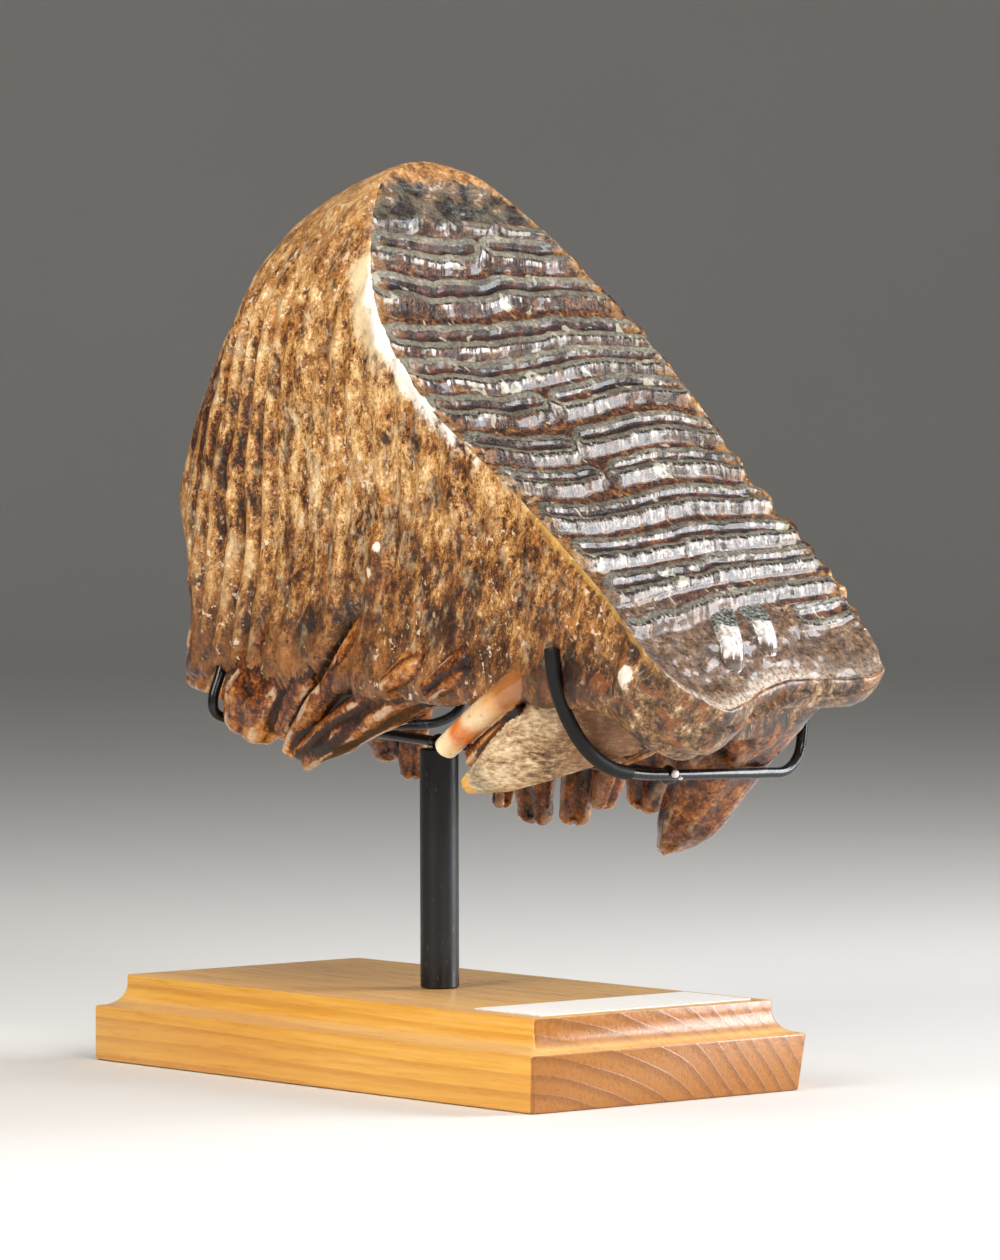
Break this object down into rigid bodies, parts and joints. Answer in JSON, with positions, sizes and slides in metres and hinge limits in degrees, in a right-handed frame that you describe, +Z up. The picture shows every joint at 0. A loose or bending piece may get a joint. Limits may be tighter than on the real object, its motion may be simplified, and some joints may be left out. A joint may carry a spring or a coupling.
{
  "type": "fossil mammoth molar on a display stand",
  "caption": "Whole fossil mammoth molar with a ridged chewing face and broken roots, held by a wire cradle on a post above a moulded wood base.",
  "frame": {"origin": "middle of the wood base's underside", "axes": "+Z up, +X along the base towards the front of the tooth, where the plates are worn lowest, +Y towards the far side"},
  "size_m": [0.2537, 0.1025, 0.2605],
  "materials": {
    "fossil": "gloss",
    "timber": "satin",
    "paper": "matte",
    "black_steel": "satin",
    "black_sleeve": "matte"
  },
  "bodies": {
    "root": {"molar": "fossil", "base": "timber", "label": "paper", "post": "black_steel", "spine_bar": "black_steel", "front_arm": "black_steel", "rear_arm": "black_steel", "front_arm_sleeve": "black_sleeve"}
  },
  "joints": []
}
